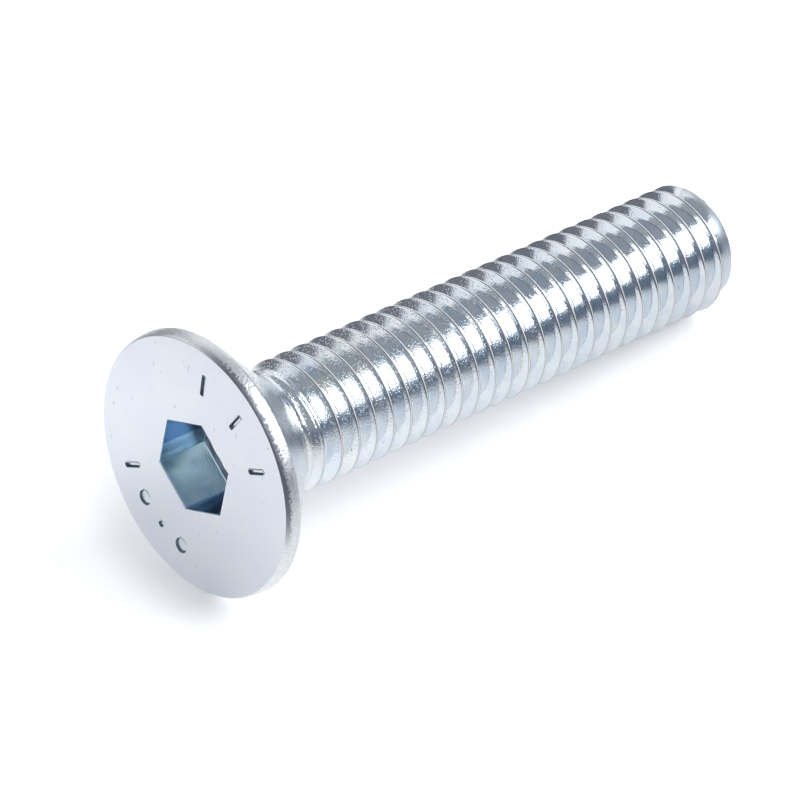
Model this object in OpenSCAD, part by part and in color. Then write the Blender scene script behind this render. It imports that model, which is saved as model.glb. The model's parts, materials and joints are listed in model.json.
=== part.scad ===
// Countersunk socket screw, threaded to the head, lying on its rim and its last thread.
//
// All sizes are in millimetres. The screw is built along its own axis: the face is at
// height 0, the tip at height `length`, and angle 0 is the side that ends up underneath.
// It is then laid down, with the tip towards +X and the lowest point on the ground.

/* [Thread] */

// Nominal diameter of the thread
thread_d = 6; // [5:0.1:7]
// Distance from one crest to the next along the axis
pitch = 1; // [0.8:0.05:1.25]
// How much the plated thread stays under its nominal diameter
thread_allowance = 0.1; // [0.02:0.01:0.2]
// Height above the face at which a crest passes the underside
crest_phase = 0.1; // [0:0.05:1]
// Pitches over which the thread fades out under the head
runout_turns = 1.25; // [0.5:0.25:3]
// How far the plain neck under the seat stays below the crests
neck_drop = 0.2; // [0.05:0.05:0.4]

/* [Length] */

// Overall length, from the face to the end of the tip
length = 30; // [16:1:45]
// Width of the bevel from the crests in to the tip's flat end
bevel_w = 0.6; // [0.3:0.05:0.8]
// Slope of that bevel against the end face, in degrees
bevel_angle = 45; // [30:5:60]

/* [Head] */

// Largest diameter of the head, where the seat begins
head_d = 12; // [11:0.1:13.5]
// Width by which the land between face and seat rounds in towards the face
land_w = 0.14; // [0.05:0.01:0.4]
// Height of that rounded land
land_h = 0.72; // [0.3:0.02:1]
// Included angle of the countersunk seat
seat_angle = 90; // [82:1:100]

/* [Socket] */

// Width of the hexagon across its flats
socket_af = 4; // [3:0.1:4.5]
// Depth of the six flats
socket_depth = 2.5; // [1.5:0.1:2.6]
// Point angle of the drilled bottom
drill_angle = 120; // [100:5:150]
// Turn of one corner of the hexagon from the underside
socket_turn = 7.5; // [0:0.5:60]

/* [Stamped marks] */

// Depth of the marks in the face
mark_depth = 0.12; // [0.05:0.01:0.2]
// Distance of the marks from the axis
mark_r = 4.3; // [3.8:0.1:4.4]
// Length of a bar
bar_l = 1; // [0.6:0.1:1.2]
// Width of a bar
bar_w = 0.22; // [0.15:0.01:0.4]
// Diameter of a large dot
dot_d = 0.7; // [0.5:0.05:0.9]
// Diameter of a small dot
small_dot_d = 0.3; // [0.2:0.05:0.45]

/* [Hidden] */

// Circles of the head are drawn with this many sides
$fn = 96;
// Flat strips that make one turn of the thread
turn_steps = 24;
// Strips in the rounded land
land_steps = 6;
// How far a cut reaches past the surface it opens
cut = 1;

// How far the threaded rod and the seat reach into each other
rod_lap = 0.4;
seat_lap = 0.1;
// Heights nearer than this count as the same
same = 0.001;

head_r = head_d / 2;
face_r = head_r - land_w;
crest_r = (thread_d - thread_allowance) / 2;
neck_r = crest_r - neck_drop;
tip_r = crest_r - bevel_w;

// A 60 degree thread: an eighth of the pitch is crest, a sixth is root, the flanks share the rest
crest_flat = pitch / 8;
root_flat = pitch / 6;
flank_w = (pitch - crest_flat - root_flat) / 2;
root_r = crest_r - flank_w / tan(30);
// One pitch of the thread: height past the start of a crest, and radius
thread_corners = [
    [0, crest_r],
    [crest_flat, crest_r],
    [crest_flat + flank_w, root_r],
    [crest_flat + flank_w + root_flat, root_r]
];
corners = len(thread_corners);
thread_profile = concat(thread_corners, [[pitch, crest_r]]);

// Height at which the seat has narrowed to radius r
function seat_z(r) = land_h + (head_r - r) / tan(seat_angle / 2);
neck_z = seat_z(neck_r);
seat_end_r = root_r - seat_lap;
rod_z = neck_z - rod_lap;

// The rod's outline at a given share of a turn, as corners counted from below the rod
first_pitch = floor((rod_z - crest_phase) / pitch) - 1;
last_pitch = ceil((length - crest_phase) / pitch) + 1;
outline_len = corners * (last_pitch - first_pitch);
function crest_start(turn) = crest_phase - crest_flat / 2 + pitch * turn;
function corner_z(j, turn) =
    crest_start(turn) + pitch * (first_pitch + floor(j / corners)) + thread_corners[j % corners][0];
function outline_z(j, turn) = min(length, max(rod_z, corner_z(j, turn)));

// Radius there: the thread fades into the neck, and the bevel cuts it at the tip
function thread_r(z, turn) =
    let (rise = (z - crest_start(turn)) / pitch)
    lookup(pitch * (rise - floor(rise)), thread_profile);
function faded_in(z) = min(1, max(0, (z - neck_z) / (runout_turns * pitch)));
function rod_r(z, turn) =
    min(
        neck_r + (thread_r(z, turn) - neck_r) * faded_in(z),
        tip_r + (length - z) / tan(bevel_angle)
    );

// The screw tips over its rim until the first corner of the thread touches the ground
tilt = min([
    for (j = [0:outline_len - 1])
        let (z = outline_z(j, 0))
        atan((head_r - rod_r(z, 0)) / (z - land_h))
]);
// Height of the axis above the ground where it leaves the face
axis_h = head_r * cos(tilt) + land_h * sin(tilt);
// The lowest edge of the face and the upper edge of the tip bound the lying screw
near_x = -face_r * sin(tilt);
far_x = length * cos(tilt) + tip_r * sin(tilt);

hex_r = socket_af / 2 / cos(30);
drill_h = socket_af / 2 / tan(drill_angle / 2);

// Angles of the marks from the underside, one row on each side of the socket
upper_bars = [183, 213, 243];
lower_bar = 62;
lower_dots = [42, 5.5];
lower_small_dot = 24;

// The rod with its thread, closed by a flat disc at each end
module rod() {
    points = [
        for (i = [0:turn_steps - 1], j = [0:outline_len - 1])
            let (
                turn = i / turn_steps,
                z = outline_z(j, turn),
                r = rod_r(z, turn)
            )
            [r * cos(360 * turn), r * sin(360 * turn), z]
    ];
    // Corners past an end share that end's point
    function below(z_end, turn) =
        len([for (j = [0:outline_len - 1]) if (corner_z(j, turn) < z_end) j]);
    first_j = [for (i = [0:turn_steps - 1]) below(rod_z + same, i / turn_steps) - 1];
    last_j = [for (i = [0:turn_steps - 1]) below(length - same, i / turn_steps)];
    // A whole turn on, the outline is one pitch up
    function at(i, j) =
        i == turn_steps
            ? at(0, j + corners)
            : i * outline_len + min(last_j[i], max(first_j[i], j));
    strips = [
        for (i = [0:turn_steps - 1], j = [0:outline_len - 2])
            let (a = at(i, j), b = at(i + 1, j), c = at(i + 1, j + 1), d = at(i, j + 1))
            each [[a, c, b], [a, d, c]]
    ];
    whole = [for (t = strips) if (t[0] != t[1] && t[1] != t[2] && t[2] != t[0]) t];
    low_disc = [for (i = [0:turn_steps - 1]) at(i, 0)];
    high_disc = [for (i = [turn_steps - 1:-1:0]) at(i, outline_len - 1)];
    polyhedron(points, concat(whole, [low_disc, high_disc]));
}

// Face, rounded land and conical seat
module head() {
    land = [
        for (i = [0:land_steps])
            let (a = 90 * i / land_steps)
            [face_r + (head_r - face_r) * sin(a), land_h * (1 - cos(a))]
    ];
    rotate_extrude()
        polygon(concat(
            [[0, 0]],
            land,
            [[seat_end_r, seat_z(seat_end_r)], [0, seat_z(seat_end_r)]]
        ));
}

// Hexagonal socket with the cone that the drill left under it
module socket() {
    rotate(socket_turn)
        translate([0, 0, -cut])
            cylinder(h = socket_depth + cut, r = hex_r, $fn = 6);
    translate([0, 0, socket_depth])
        cylinder(h = drill_h, r1 = socket_af / 2, r2 = 0);
}

// Place something at an angle round the row of marks
module on_row(angle) {
    rotate(angle)
        translate([mark_r, 0, mark_depth - cut / 2])
            children();
}

module bar() {
    cube([bar_l, bar_w, cut], center = true);
}

module dot(d) {
    cylinder(h = cut, d = d, center = true, $fn = 24);
}

// Plain bars and dots pressed into the face
module marks() {
    for (a = upper_bars)
        on_row(a) bar();
    on_row(lower_bar) bar();
    for (a = lower_dots)
        on_row(a) dot(dot_d);
    on_row(lower_small_dot) dot(small_dot_d);
}

// Turn a thing built along the axis so that it lies on the ground
module lay_down() {
    translate([-(near_x + far_x) / 2, 0, axis_h])
        rotate([0, 90 + tilt, 0])
            children();
}

module screw() {
    color([0.80, 0.83, 0.88])
        lay_down()
            difference() {
                union() {
                    head();
                    rod();
                }
                socket();
                marks();
            }
}

screw();
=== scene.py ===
import json
import math

import bmesh
import bpy
from mathutils import Matrix, Vector, noise


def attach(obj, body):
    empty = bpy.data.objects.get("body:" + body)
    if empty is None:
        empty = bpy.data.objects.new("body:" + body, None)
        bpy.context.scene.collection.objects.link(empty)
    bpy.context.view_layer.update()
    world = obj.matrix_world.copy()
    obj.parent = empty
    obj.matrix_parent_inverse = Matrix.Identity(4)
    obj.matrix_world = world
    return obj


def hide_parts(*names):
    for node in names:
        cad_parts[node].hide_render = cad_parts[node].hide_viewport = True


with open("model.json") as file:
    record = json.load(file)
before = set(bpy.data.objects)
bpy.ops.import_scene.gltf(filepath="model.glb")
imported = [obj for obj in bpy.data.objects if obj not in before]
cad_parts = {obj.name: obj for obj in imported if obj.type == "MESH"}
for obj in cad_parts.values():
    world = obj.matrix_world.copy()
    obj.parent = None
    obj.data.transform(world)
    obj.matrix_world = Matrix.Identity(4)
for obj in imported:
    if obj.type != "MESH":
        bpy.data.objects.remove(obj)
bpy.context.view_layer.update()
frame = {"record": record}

# The screw is modelled in millimetres along Z, from its face at 0 to its tip, and is laid
# on the table at the end. Angles are in degrees, from the side that ends up underneath.

# The shank is steel wire with a right-hand thread rolled into it. The rollers squeeze the
# metal up between them, so each crest closes over a fine seam, and under the head, where
# the rollers run out, the two lips of the seam stay apart.
PITCH = 1.0
LENGTH = 30.0
# Height at which a crest passes the underside
CREST_PHASE = 0.1
# Radius of the plain neck, its lower end, and the height over which the thread fills out
NECK_R = 2.75
NECK_END = 4.25
RUNOUT = 1.0
# Radius of the flat end inside the 45 degree bevel
TIP_R = 2.35
# An open seam: how far each lip stays from its middle, how wide a lip is, and its depth
SEAM_GAP = 0.2
SEAM_LIP = 0.02
SEAM_DEPTH = 0.12
# Steps to a turn, and the turns to model, of which the neck and the tip cut off the ends
TURN_STEPS = 96
FIRST_TURN = 3
TURNS = 28
# Distance along the axis from the middle of a crest, and radius there, first for the foot
# of both flanks. The crest rounds off more softly towards the head
ROOT = [(0.395, 2.374), (0.408, 2.353), (0.425, 2.340), (0.45, 2.337), (0.5, 2.337)]
TO_HEAD = [
    (0.015, 2.949), (0.040, 2.948), (0.060, 2.942), (0.080, 2.930), (0.100, 2.911),
    (0.120, 2.882), *ROOT,
]
TO_TIP = [
    (0, 2.948), (0.016, 2.943), (0.030, 2.933), (0.042, 2.919), (0.055, 2.898),
    (0.068, 2.877), *ROOT,
]
# Heights nearer than this count as the same, and corners nearer than this are joined
SAME = 0.01
MERGE = 1e-4


def only(kind, geom):
    """The vertices, edges or faces among the things that an operator returns."""
    return [part for part in geom if isinstance(part, kind)]


screw = bmesh.new()
one_pitch = [(-d, r) for d, r in reversed(TO_HEAD)] + TO_TIP
first_crest = CREST_PHASE + FIRST_TURN * PITCH
outline = [screw.verts.new((r, 0, first_crest + d)) for d, r in one_pitch]
rolled = [screw.edges.new(pair) for pair in zip(outline, outline[1:])]
bmesh.ops.spin(
    screw, geom=outline + rolled, axis=(0, 0, 1), cent=(0, 0, 0),
    dvec=(0, 0, PITCH / TURN_STEPS), angle=math.tau, steps=TURN_STEPS, use_merge=False,
)
one_turn = screw.verts[:] + screw.edges[:] + screw.faces[:]
for k in range(1, TURNS):
    copied = bmesh.ops.duplicate(screw, geom=one_turn)["geom"]
    bmesh.ops.translate(screw, verts=only(bmesh.types.BMVert, copied), vec=(0, 0, k * PITCH))
bmesh.ops.remove_doubles(screw, verts=screw.verts[:], dist=MERGE)

# The thread grows out of the neck, and the tip cuts it off
for v in screw.verts:
    turn = math.atan2(v.co.y, v.co.x) / math.tau
    rise = (v.co.z - CREST_PHASE) / PITCH - turn
    crest_z = CREST_PHASE + PITCH * (round(rise) + turn)
    d = v.co.z - crest_z
    grown = min(1, max(0, (v.co.z - NECK_END) / RUNOUT))
    gap = SEAM_GAP * (1 - grown) * min(1, abs(d) / SEAM_LIP)
    z = crest_z + math.copysign(gap + abs(d) * (1 - 2 * gap), d)
    radius = NECK_R + (v.co.xy.length - NECK_R) * grown
    if abs(d) < SAME:
        radius -= SEAM_DEPTH * grown * (1 - grown)
    if z <= NECK_END:
        z, radius = NECK_END, NECK_R
    if z >= LENGTH:
        z, radius = LENGTH, TIP_R
    radius = min(radius, TIP_R + LENGTH - z)
    v.co = (*(v.co.xy.normalized() * radius), z)
bmesh.ops.remove_doubles(screw, verts=screw.verts[:], dist=MERGE)

# The end of the wire was pinched off and pressed flat inside the bevel. It keeps a shallow
# dish and a softened edge.
END_ROUND = 0.07
# Width and depth of each step into the dish
DISH = [(0.35, -0.02), (0.5, -0.05), (0.7, -0.03)]
end_ring = [e for e in screw.edges if e.is_boundary and e.verts[0].co.z > LENGTH - SAME]
bmesh.ops.edgeloop_fill(screw, edges=end_ring)
bmesh.ops.bevel(
    screw, geom=end_ring, offset=END_ROUND, affect="EDGES", segments=2, profile=0.5, material=-1
)
at_end = [f for f in screw.faces if f.calc_center_median().z > LENGTH - SAME]
end = max(at_end, key=lambda f: f.calc_area())
for width, sink in DISH:
    bmesh.ops.inset_region(screw, faces=[end], thickness=width)
    bmesh.ops.translate(screw, verts=end.verts[:], vec=(0, 0, sink))

# The head is upset from the same wire: a 90 degree seat that meets the shank in a small
# fillet, and a narrow land that rounds in from the rim to the flat face.
HEAD_R = 6.0
FACE_R = 5.86
LAND_H = 0.72
# Width of the fillet at the neck and of the rounding at the rim
NECK_FILLET = 0.25
RIM_ROUND = 0.06
# Corners of the land between the face and the rim, as angles on a quarter of an ellipse
LAND_ANGLES = [0, 4, 9, 15, 25, 40, 57, 75]


def land_corner(angle):
    """A new vertex in the land's outline."""
    angle = math.radians(angle)
    radius = FACE_R + (HEAD_R - FACE_R) * math.sin(angle)
    return screw.verts.new((radius, 0, LAND_H * (1 - math.cos(angle))))


shank = set(screw.verts)
neck_corner = screw.verts.new((NECK_R, 0, LAND_H + HEAD_R - NECK_R))
rim = screw.verts.new((HEAD_R, 0, LAND_H))
head_line = [screw.verts.new((NECK_R, 0, NECK_END)), neck_corner, rim]
head_line += [land_corner(a) for a in reversed(LAND_ANGLES)]
for pair in zip(head_line, head_line[1:]):
    screw.edges.new(pair)
for corner, width, segments in ((neck_corner, NECK_FILLET, 6), (rim, RIM_ROUND, 3)):
    bmesh.ops.bevel(
        screw, geom=[corner], offset=width, affect="VERTICES", segments=segments, profile=0.5,
        material=-1,
    )
head_parts = [v for v in screw.verts if v not in shank]
head_parts += [e for e in screw.edges if e.verts[0] not in shank]
bmesh.ops.spin(
    screw, geom=head_parts, axis=(0, 0, 1), cent=(0, 0, 0), angle=math.tau, steps=TURN_STEPS,
    use_merge=True,
)
bmesh.ops.remove_doubles(screw, verts=screw.verts[:], dist=MERGE)

# The hexagonal socket is punched 2.5 mm deep, over the cone of the drilled hole. The punch
# rounds its mouth and leaves a small burr round it.
SOCKET_AF = 4.0
SOCKET_DEPTH = 2.5
SOCKET_TURN = 7.5
SOCKET_R = SOCKET_AF / math.sqrt(3)
DRILL_R = 1.985
DRILL_H = 1.155
# The burr: how far out it starts, the size of its top beside that, and its height
BURR_W = 0.05
BURR_TOP = 0.992
BURR_H = 0.012
MOUTH_ROUND = 0.012
# Size of each further ring beside the one before, and its height, first down to the flat
# round the drilled hole and then into the hole, whose point is blunt
WALL = [
    ((SOCKET_R + MOUTH_ROUND) / (SOCKET_R + BURR_W) / BURR_TOP, MOUTH_ROUND),
    (SOCKET_R / (SOCKET_R + MOUTH_ROUND), 0.06),
    (1, SOCKET_DEPTH - 0.05),
    (0.985, SOCKET_DEPTH),
    (1, SOCKET_DEPTH),
]
HOLE = [
    (0.97, SOCKET_DEPTH + 0.035),
    (0.15, SOCKET_DEPTH + 0.86 * DRILL_H),
    (0.3, SOCKET_DEPTH + 0.93 * DRILL_H),
]


def go_on(ring, size, z):
    """Extrudes a ring of edges about the axis, to a size and a height."""
    grown = bmesh.ops.extrude_edge_only(screw, edges=ring)["geom"]
    verts = only(bmesh.types.BMVert, grown)
    bmesh.ops.scale(screw, verts=verts, vec=(size, size, 1))
    for v in verts:
        v.co.z = z
    return only(bmesh.types.BMEdge, grown)


mouth = bmesh.ops.create_circle(
    screw, cap_ends=False, segments=6, radius=SOCKET_R + BURR_W,
    matrix=Matrix.Rotation(math.radians(SOCKET_TURN - 30), 4, "Z"),
)["verts"]
mouth_rim = list(dict.fromkeys(e for v in mouth for e in v.link_edges))
# The mouth gets as many corners as the rim of the head has
mouth_rim = bmesh.ops.subdivide_edges(
    screw, edges=mouth_rim, cuts=TURN_STEPS // 6 - 1
)["geom_split"]
ring = go_on(only(bmesh.types.BMEdge, mouth_rim), BURR_TOP, -BURR_H)
# The burr is uneven, both coarsely and finely
for v in {v for e in ring for v in e.verts}:
    burr = noise.noise(v.co * 4) + 0.6 * noise.noise(v.co * 13)
    v.co.z -= BURR_H * max(0, burr)
    v.co.xy *= 1 + 0.003 * burr
for size, z in WALL:
    ring = go_on(ring, size, z)
for v in {v for e in ring for v in e.verts}:
    v.co.xy = v.co.xy.normalized() * DRILL_R
for size, z in HOLE:
    ring = go_on(ring, size, z)
bmesh.ops.edgeloop_fill(screw, edges=ring)

# Plain bars and dots are stamped into the face in two rows, one on each side of the
# socket. The stamp pushes up a low lip round each of them.
MARK_R = 4.3
BAR_L = 1.0
BAR_W = 0.22
BAR_ROUND = 0.12
DOT_R = 0.35
SMALL_DOT_R = 0.15
BARS = [183, 213, 243, 62]
DOTS = [(42, DOT_R), (5.5, DOT_R), (24, SMALL_DOT_R)]
# How far the lip reaches out, then the width and depth of each step over it and down
LIP_REACH = 0.05
LIP = [(0.025, -0.015), (0.02, -0.005)]
GROOVE = [*LIP, (0.04, 0.09), (0.03, 0.04)]
DIMPLE = [*LIP, (0.03, 0.07), (0.04, 0.045), (0.06, 0.015)]


def on_row(angle):
    """The place of a mark at an angle."""
    return Matrix.Rotation(math.radians(angle), 4, "Z") @ Matrix.Translation((MARK_R, 0, 0))


def stamp(face, steps):
    """Raises a lip along the outline of a face, and presses the rest of it in."""
    for width, sink in steps:
        bmesh.ops.inset_region(
            screw, faces=[face], thickness=width, use_boundary=True, use_even_offset=True
        )
        bmesh.ops.translate(screw, verts=face.verts[:], vec=(0, 0, sink))


for angle in BARS:
    place = on_row(angle)
    size = Matrix.Diagonal((BAR_L / 2 + LIP_REACH, BAR_W / 2 + LIP_REACH, 1, 1))
    corners = bmesh.ops.create_grid(
        screw, x_segments=1, y_segments=1, size=1, matrix=place @ size
    )["verts"]
    bmesh.ops.bevel(
        screw, geom=corners[0].link_faces[0].verts[:], offset=BAR_ROUND, affect="VERTICES",
        segments=4, profile=0.5, material=-1,
    )
    # The bevel puts a new face in place of the one it rounds
    middle = place.translation
    face = min(screw.faces, key=lambda f: (f.calc_center_median() - middle).length)
    stamp(face, GROOVE)
for angle, radius in DOTS:
    dot = bmesh.ops.create_circle(
        screw, cap_ends=True, segments=24, radius=radius + LIP_REACH, matrix=on_row(angle)
    )["verts"]
    stamp(dot[0].link_faces[0], DIMPLE)

# The face fills what is left open: its rim, the socket's mouth and the marks' outlines
flat = bmesh.ops.triangle_fill(
    screw, use_beauty=True, use_dissolve=False, normal=(0, 0, -1),
    edges=[e for e in screw.edges if e.is_boundary],
)["geom"]
flat = set(only(bmesh.types.BMFace, flat))
bmesh.ops.recalc_face_normals(screw, faces=screw.faces[:])
if screw.calc_volume(signed=True) < 0:
    bmesh.ops.reverse_faces(screw, faces=screw.faces[:])

# Plating in a bath coats the whole screw, but not alike: there is one finish for the shank
# and the seat, and one each for the face, the land, the socket, and for the drilled hole
# with the walls of the marks.
THREAD, FACE, LAND, SOCKET, BORE = range(5)
# Slack with which a place is told from the next, and the angle past which an edge is sharp
SLACK = 0.02
SHARP_ANGLE = 32


def finish_of(f):
    """The finish of one of the mesh's faces."""
    middle = f.calc_center_median()
    radius = middle.xy.length
    in_socket = radius < SOCKET_R + SLACK and middle.z < SOCKET_DEPTH + DRILL_H
    in_face = radius < FACE_R - SLACK and middle.z < LAND_H
    steep = abs(f.normal.z) < 0.9
    if in_socket and middle.z > SOCKET_DEPTH - SLACK:
        return BORE
    if in_socket and middle.z > SLACK:
        return SOCKET
    if in_face and middle.z > SAME and steep:
        return BORE
    if in_face or f in flat:
        return FACE
    return LAND if middle.z < LAND_H + SLACK else THREAD


for f in screw.faces:
    f.smooth = f not in flat
    f.material_index = finish_of(f)
for e in screw.edges:
    e.smooth = e.calc_face_angle(0) < math.radians(SHARP_ANGLE)


class Link:
    """A shader socket that takes part in arithmetic and adds the nodes for it."""

    def __init__(self, tree, socket=None):
        self.tree, self.socket = tree, socket

    def add(self, kind, settings=None, sockets=None, out=0):
        """Adds a node: its settings first, then the values or links of its sockets."""
        node = self.tree.nodes.new("ShaderNode" + kind)
        for name, value in (settings or {}).items():
            setattr(node, name, value)
        for name, value in (sockets or {}).items():
            if isinstance(value, Link):
                self.tree.links.new(value.socket, node.inputs[name])
            else:
                node.inputs[name].default_value = value
        return Link(self.tree, node.outputs[out])

    def feed(self, node, name):
        """Joins this to an input of a node that is there already."""
        self.tree.links.new(self.socket, node.inputs[name])

    def maths(self, operation, *values):
        return self.add("Math", {"operation": operation}, dict(enumerate(values)))

    def __add__(self, other):
        return self.maths("ADD", self, other)

    def __sub__(self, other):
        return self.maths("SUBTRACT", self, other)

    def __rsub__(self, other):
        return self.maths("SUBTRACT", other, self)

    def __mul__(self, other):
        return self.maths("MULTIPLY", self, other)

    __radd__, __rmul__ = __add__, __mul__

    def split(self):
        """The three parts of a vector."""
        parts = self.add("SeparateXYZ", {}, {"Vector": self}).socket.node.outputs
        return [Link(self.tree, part) for part in parts]

    def ramp(self, low, high):
        """0 below low, 1 above high, and a soft step between them."""
        return self.add(
            "MapRange", {"interpolation_type": "SMOOTHSTEP"},
            {"Value": self, "From Min": low, "From Max": high},
        )

    def band(self, low, high):
        """1 between two soft steps, each given by its ends, and 0 outside them."""
        return self.ramp(*low) * (1 - self.ramp(*high))

    def mix(self, low, high):
        """A colour between low and high."""
        return self.add(
            "Mix", {"data_type": "RGBA"}, {"Factor": self, 6: low, 7: high}, out=2
        )


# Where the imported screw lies: the middle of its face, and its own three directions
drive = next(m for m in frame["record"]["mounts"] if m["name"] == "drive")
face_middle = Vector(drive["pos_m"])
along = -Vector(drive["axis"]).normalized()
across_table = Vector((0, 1, 0))
under = across_table.cross(along)
lay = Matrix((under, across_table, along)).transposed()
MM_PER_M = 1000


def plated(name):
    """A new metal finish, and its place on the screw in millimetres along the axis."""
    material = bpy.data.materials.new(name)
    material.use_nodes = True
    shader = material.node_tree.nodes["Principled BSDF"]
    shader.inputs["Metallic"].default_value = 1
    start = Link(material.node_tree)
    unlay = lay.transposed()
    place = start.add("Mapping", {}, {
        "Vector": start.add("TexCoord", out=3),
        "Location": unlay @ face_middle * -MM_PER_M,
        "Rotation": unlay.to_euler(),
        "Scale": (MM_PER_M, MM_PER_M, MM_PER_M),
    })
    return material, shader, place


def grain(place, scale, detail=2.0, rough=0.5):
    """Random clouds or specks, finer with a larger scale."""
    return place.add("TexNoise", {}, {
        "Vector": place, "Scale": scale, "Detail": detail, "Roughness": rough,
    })


def near(place, spot, inner, outer):
    """1 within the inner distance of a spot, and 0 past the outer one."""
    away = place.add("VectorMath", {"operation": "DISTANCE"}, {0: place, 1: spot}, out=1)
    return 1 - away.ramp(inner, outer)


def across(place, angle):
    """How far a point lies from the axis, in the direction of an angle."""
    angle = math.radians(angle)
    return place.add("VectorMath", {"operation": "DOT_PRODUCT"}, {
        0: place, 1: (math.cos(angle), math.sin(angle), 0),
    }, out=1)


def finish(shader, colour, rough, relief, strength, distance):
    """Joins a finish's colour, roughness and fine relief to its shader."""
    colour.feed(shader, "Base Color")
    rough.feed(shader, "Roughness")
    bump = {"Height": relief, "Strength": strength, "Distance": distance}
    relief.add("Bump", {}, bump).feed(shader, "Normal")


# The rolled shank: bright, a little cloudy, with a faint warm tint in places near the
# head, where it is also finely grained. The crests are rubbed matt, and painted pale along
# their middles as a painted highlight, with painted shade in the seam on one side and at
# the edge of the flank on the other.
ZINC = (0.78, 0.84, 0.895, 1)
ZINC_CLOUD = (0.86, 0.89, 0.915, 1)
ZINC_TINT = (0.89, 0.89, 0.81, 1)
PIT = (0.42, 0.45, 0.50, 1)
CREST_SHADE = (0.30, 0.30, 0.32, 1)
WORN_HIGHLIGHT = (0.95, 0.95, 0.95, 1)
# Both soft steps of each strip along a crest, in pitches from its middle
EDGE_STRIP = ((-0.092, -0.075), (-0.06, -0.048))
WORN_HIGHLIGHT_STRIP = ((-0.06, -0.048), (-0.018, -0.006))
SEAM_STRIP = ((-0.018, -0.006), (0.045, 0.07))
zinc_thread, shader, place = plated("zinc_thread")
x, y, z = place.split()
cloud = grain(place, 0.9, 3)
grainy = 1 - 0.75 * z.ramp(5, 24)
speck = place.add("TexVoronoi", {}, {"Vector": place, "Scale": 9}).ramp(0.05, 0.45)
pits = grain(place, 7).ramp(0.70, 0.76)
tint = grain(place, 0.5).ramp(0.52, 0.66) * (1 - z.ramp(6, 16))
rise = (z - CREST_PHASE) * (1 / PITCH) - y.maths("ARCTAN2", y, x) * (1 / math.tau) + 0.5
from_crest = rise.maths("FRACT", rise) - 0.5
tip = z.ramp(LENGTH - 0.7, LENGTH - 0.5)
full = z.ramp(NECK_END + 0.25, NECK_END + 1.25) * (1 - tip)
edge = from_crest.band(*EDGE_STRIP) * full
worn_highlight = from_crest.band(*WORN_HIGHLIGHT_STRIP) * full
seam = from_crest.band(*SEAM_STRIP) * full
colour = cloud.ramp(0.4, 0.6).mix(ZINC, ZINC_CLOUD)
colour = (0.4 * tint).mix(colour, ZINC_TINT)
colour = pits.mix(colour, PIT)
# Painted shade darkens the seam and the edge of the flank beside each crest
colour = (0.9 * seam + 0.7 * edge).mix(colour, CREST_SHADE)
# The rubbed middle of each crest is painted pale, a painted highlight
colour = worn_highlight.mix(colour, WORN_HIGHLIGHT)
rough = 0.05 + 0.09 * grainy + 0.04 * cloud + 0.2 * pits + 0.3 * worn_highlight + 0.15 * seam + 0.25 * tip
(1 - 0.6 * worn_highlight).feed(shader, "Metallic")
finish(shader, colour, rough, speck * grainy, 0.5, 0.000015)

# The pressed face: satin, with fine specks and a few short nicks.
FACE_ZINC = (0.88, 0.915, 0.965, 1)
FACE_CLOUD = (0.92, 0.945, 0.98, 1)
NICK = (0.66, 0.70, 0.76, 1)
zinc_face, shader, place = plated("zinc_face")
cloud = grain(place, 0.35)
speck = grain(place, 9, 2, 0.6)
streaked = place.add("Mapping", {}, {"Vector": place, "Scale": (0.3, 1, 1)})
nicks = grain(streaked, 6, 1).ramp(0.70, 0.78)
colour = nicks.mix(cloud.ramp(0.3, 0.7).mix(FACE_ZINC, FACE_CLOUD), NICK)
finish(shader, colour, 0.18 + 0.12 * speck, speck - nicks, 0.5, 0.00001)

# The land: tumbled against other screws, so its grain is coarser. On one side, beside the
# face, it is painted dark, a painted reflection of the dark room that it faces there.
LAND_ZINC = (0.80, 0.82, 0.84, 1)
LAND_SPECK = (0.92, 0.93, 0.94, 1)
DARK_REFLECTION = (0.30, 0.32, 0.36, 1)
DARK_REFLECTION_AT = 228
zinc_land, shader, place = plated("zinc_land")
speck = grain(place, 8, 2, 0.6)
height = place.split()[2]
beside_face = (speck - 1.6 * height).ramp(0.05, 0.2)
# Painted dark reflection beside the face, on one side of the land
dark_reflection = across(place, DARK_REFLECTION_AT).ramp(3.6, 5.1) * beside_face
colour = dark_reflection.mix(speck.ramp(0.35, 0.6).mix(LAND_ZINC, LAND_SPECK), DARK_REFLECTION)
finish(shader, colour, 0.23 + 0.22 * speck + 0.06 * dark_reflection, speck, 0.8, 0.00003)

# The socket: the bath reached it last, so the passivated film on it is a deeper blue. One
# of its flats has a film of its own, and another is painted with shade over the part further
# from the table and with light over the part towards it.
SOCKET_ZINC = (0.65, 0.77, 0.86, 1)
SOCKET_CLOUD = (0.88, 0.94, 0.95, 1)
FILM = (0.52, 0.66, 0.82, 1)
WALL_SHADE = (0.32, 0.50, 0.70, 1)
WALL_LIGHT = (0.82, 0.97, 1, 1)
FILM_AT = SOCKET_TURN - 30
SHADE_AND_LIGHT_AT = SOCKET_TURN + 90
ON_FLAT = (1.92, 1.98)
zinc_socket, shader, place = plated("zinc_socket")
cloud = grain(place, 0.5, 3)
speck = grain(place, 12, 3, 0.6)
# Painted shade on the part of one flat further from the table, painted light on the part
# towards it
wall_shade_and_light = place.split()[0].ramp(-0.14, 0.02).mix(WALL_SHADE, WALL_LIGHT)
colour = cloud.ramp(0.4, 0.6).mix(SOCKET_ZINC, SOCKET_CLOUD)
colour = across(place, SHADE_AND_LIGHT_AT).ramp(*ON_FLAT).mix(colour, wall_shade_and_light)
colour = across(place, FILM_AT).ramp(*ON_FLAT).mix(colour, FILM)
finish(shader, colour, 0.04 + 0.08 * speck, speck, 0.4, 0.00001)
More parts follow.
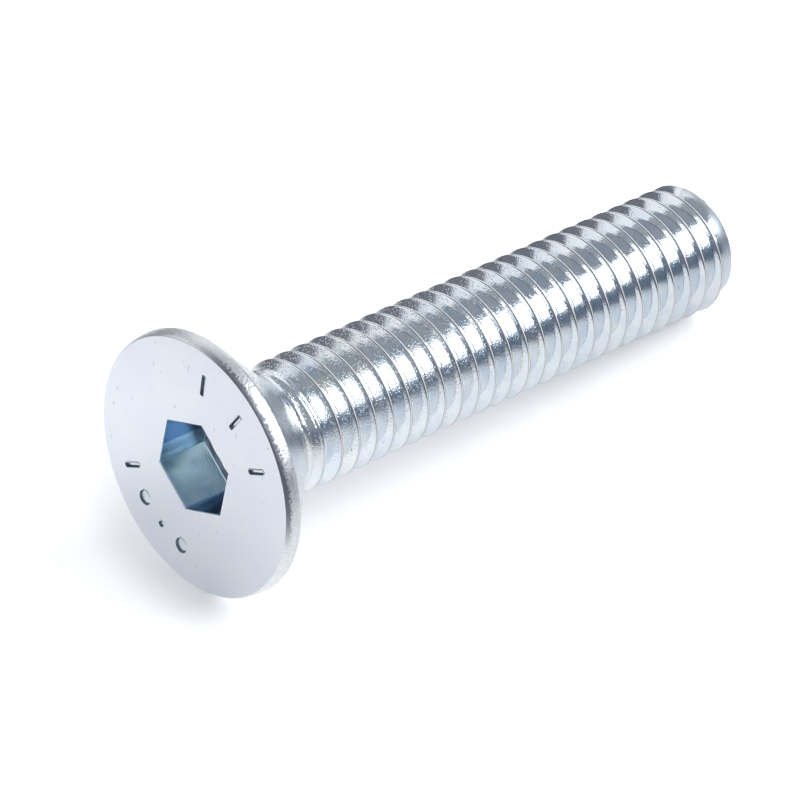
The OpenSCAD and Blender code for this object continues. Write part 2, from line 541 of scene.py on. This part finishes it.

# The drilled hole and the walls of the marks are dull. The walls of the marks and one side
# of the hole are painted dark, as painted shade in these hollows, and the other side of the
# hole keeps a zinc colour, except at a spot painted just as dark.
BORE_ZINC = (0.62, 0.74, 0.80, 1)
BORE_CLOUD = (0.74, 0.84, 0.88, 1)
BORE_PAINTED_DARK = (0.20, 0.24, 0.29, 1)
HOLE_AT = (0, 0, 3)
DARK_SPOT_AT = (-0.92, -0.6, 3)
zinc_bore, shader, place = plated("zinc_bore")
cloud = grain(place, 1.5, 3)
speck = grain(place, 6, 3, 0.6)
# Painted shade on one side of the hole, on a spot, and on the walls of the marks
shaded_side = across(place, 45).ramp(-0.3, 0.9)
dark_spot = near(place, DARK_SPOT_AT, 0.2, 0.6)
in_hole = near(place, HOLE_AT, 2.5, 2.6)
painted_dark = 1 - (1 - shaded_side) * (1 - dark_spot) * in_hole
colour = painted_dark.mix(cloud.ramp(0.35, 0.65).mix(BORE_ZINC, BORE_CLOUD), BORE_PAINTED_DARK)
finish(shader, colour, 0.25 + 0.2 * speck, speck, 0.5, 0.00003)

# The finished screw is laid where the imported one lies, and stands for it
laid = Matrix.Translation(face_middle) @ lay.to_4x4()
bmesh.ops.scale(screw, verts=screw.verts[:], vec=(1 / MM_PER_M, 1 / MM_PER_M, 1 / MM_PER_M))
bmesh.ops.transform(screw, verts=screw.verts[:], matrix=laid)
mesh = bpy.data.meshes.new("screw_plated")
screw.to_mesh(mesh)
screw.free()
for material in (zinc_thread, zinc_face, zinc_land, zinc_socket, zinc_bore):
    mesh.materials.append(material)
piece = bpy.data.objects.new("screw_plated", mesh)
bpy.context.scene.collection.objects.link(piece)
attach(piece, "root")
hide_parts("screw")

# A table covered with white paper. A pool of light is painted on its middle: outside it the
# paper is painted dim, and in it, as in a patch in front of the face, the paper glows a
# little for the metal, which mirrors both as painted reflections. The camera sees the paper
# burnt out to white where nothing shades it. From here on, sizes are in metres.
TABLE_R = 12
PAPER = (0.95, 0.95, 0.955, 1)
PAPER_PAINTED_DIM = (0.20, 0.21, 0.23, 1)
MIDDLE = (0, 0, 0)
PAINTED_POOL_AT = (-0.005, 0.010, 0)
GLOWING_PATCH_AT = (-0.024, 0.006, 0)
table = bmesh.new()
bmesh.ops.create_circle(table, cap_ends=True, segments=64, radius=TABLE_R)
mesh = bpy.data.meshes.new("table")
table.to_mesh(mesh)
table.free()
floor = bpy.data.objects.new("table", mesh)
bpy.context.scene.collection.objects.link(floor)
material = bpy.data.materials.new("paper")
material.use_nodes = True
nodes = material.node_tree.nodes
shader = nodes["Principled BSDF"]
shader.inputs["Roughness"].default_value = 0.9
shader.inputs["Specular IOR Level"].default_value = 0
start = Link(material.node_tree)
spot = start.add("TexCoord", out=3)
# Painted pool of light: outside it the paper is painted dim for all rays but the camera's
painted_pool = near(spot, PAINTED_POOL_AT, 0, 0.075)
# Painted bright patch in front of the face, which glows for the metal to mirror
glowing_patch = near(spot, GLOWING_PATCH_AT, 0.007, 0.022)
# The paper glows less close to the screw, which paints shade round and under it, so that the
# shadow shows there
shade_round_screw = near(spot, MIDDLE, 0.018, 0.05)
shade_under_screw = near(spot, MIDDLE, 0.015, 0.0182)
glare = 1.22 - 0.30 * shade_under_screw - 0.68 * shade_round_screw
rays = start.add("LightPath").socket.node.outputs
seen, glossy, through = [
    Link(material.node_tree, rays[name])
    for name in ("Is Camera Ray", "Is Glossy Ray", "Is Transmission Ray")
]
mirrored = glossy.maths("MAXIMUM", glossy, through)
((1 - painted_pool) * (1 - seen)).mix(PAPER, PAPER_PAINTED_DIM).feed(shader, "Base Color")
# The paper glows white for the camera, and glows in the painted pool and patch for the metal
burnt = start.add("Emission", {}, {
    "Strength": seen * glare + mirrored * (0.12 * painted_pool + 0.12 * glowing_patch),
})
lit = Link(material.node_tree, shader.outputs[0])
start.add("AddShader", {}, {0: lit, 1: burnt}).feed(nodes["Material Output"], "Surface")
mesh.materials.append(material)


# Studio light: a soft box in front on the right, a wide one behind, a card at the tip's
# end, a small one before the face that the flanks mirror, and a fill that only the paper
# and the crests show. The room is dim overhead, and darker and bluer all round.
def soft_box(name, azimuth, elevation, distance, size, watts):
    """An area lamp at a direction and distance from the screw, turned towards it."""
    lamp = bpy.data.lights.new(name, "AREA")
    lamp.shape = "RECTANGLE"
    lamp.size, lamp.size_y = size
    lamp.energy = watts
    azimuth, elevation = math.radians(azimuth), math.radians(elevation)
    away = Vector((
        math.cos(azimuth) * math.cos(elevation),
        math.sin(azimuth) * math.cos(elevation),
        math.sin(elevation),
    ))
    box = bpy.data.objects.new(name, lamp)
    box.location = away * distance
    box.rotation_euler = away.to_track_quat("Z", "Y").to_euler()
    box.visible_camera = False
    bpy.context.scene.collection.objects.link(box)
    return box


soft_box("key", -46, 41, 0.6, (0.48, 0.48), 2.0)
soft_box("back", 110, 33, 0.6, (0.94, 0.32), 0.56)
soft_box("side", 40, 20, 0.6, (0.40, 0.48), 0.44)
soft_box("front", 183, 17.5, 0.6, (0.21, 0.16), 0.14)
soft_box("fill", -30, 42, 1.0, (0.8, 0.8), 4.2).visible_glossy = False

OVERHEAD = (0.33, 0.355, 0.39, 1)
WALLS = (0.145, 0.183, 0.245, 1)
WALL_BEHIND = (0.17, 0.18, 0.21, 1)
world = bpy.data.worlds.new("room")
world.use_nodes = True
_, y, z = Link(world.node_tree).add("TexCoord").split()
walls = y.ramp(0.3, 0.85).mix(WALLS, WALL_BEHIND)
z.ramp(0.2, 0.45).mix(walls, OVERHEAD).feed(world.node_tree.nodes["Background"], "Color")
bpy.context.scene.world = world

# The camera looks down on the head from the left, with a long lens. Its focal length is
# given in pixels of an image 800 pixels wide.
FOCAL_PX = 5465
IMAGE_PX = 800
SENSOR_MM = 36
CAMERA_FROM_FACE = Vector((-0.1138, -0.1377, 0.14525))
LOOKS_ALONG = Vector((0.5278, 0.5788, -0.6217))
camera = bpy.data.cameras.new("camera")
camera.lens = FOCAL_PX / IMAGE_PX * SENSOR_MM
camera.sensor_width = SENSOR_MM
camera.clip_start = 0.01
view = bpy.data.objects.new("camera", camera)
view.location = face_middle + CAMERA_FROM_FACE
view.rotation_euler = LOOKS_ALONG.to_track_quat("-Z", "Y").to_euler()
bpy.context.scene.collection.objects.link(view)
bpy.context.scene.camera = view
bpy.context.scene.view_settings.view_transform = "Standard"
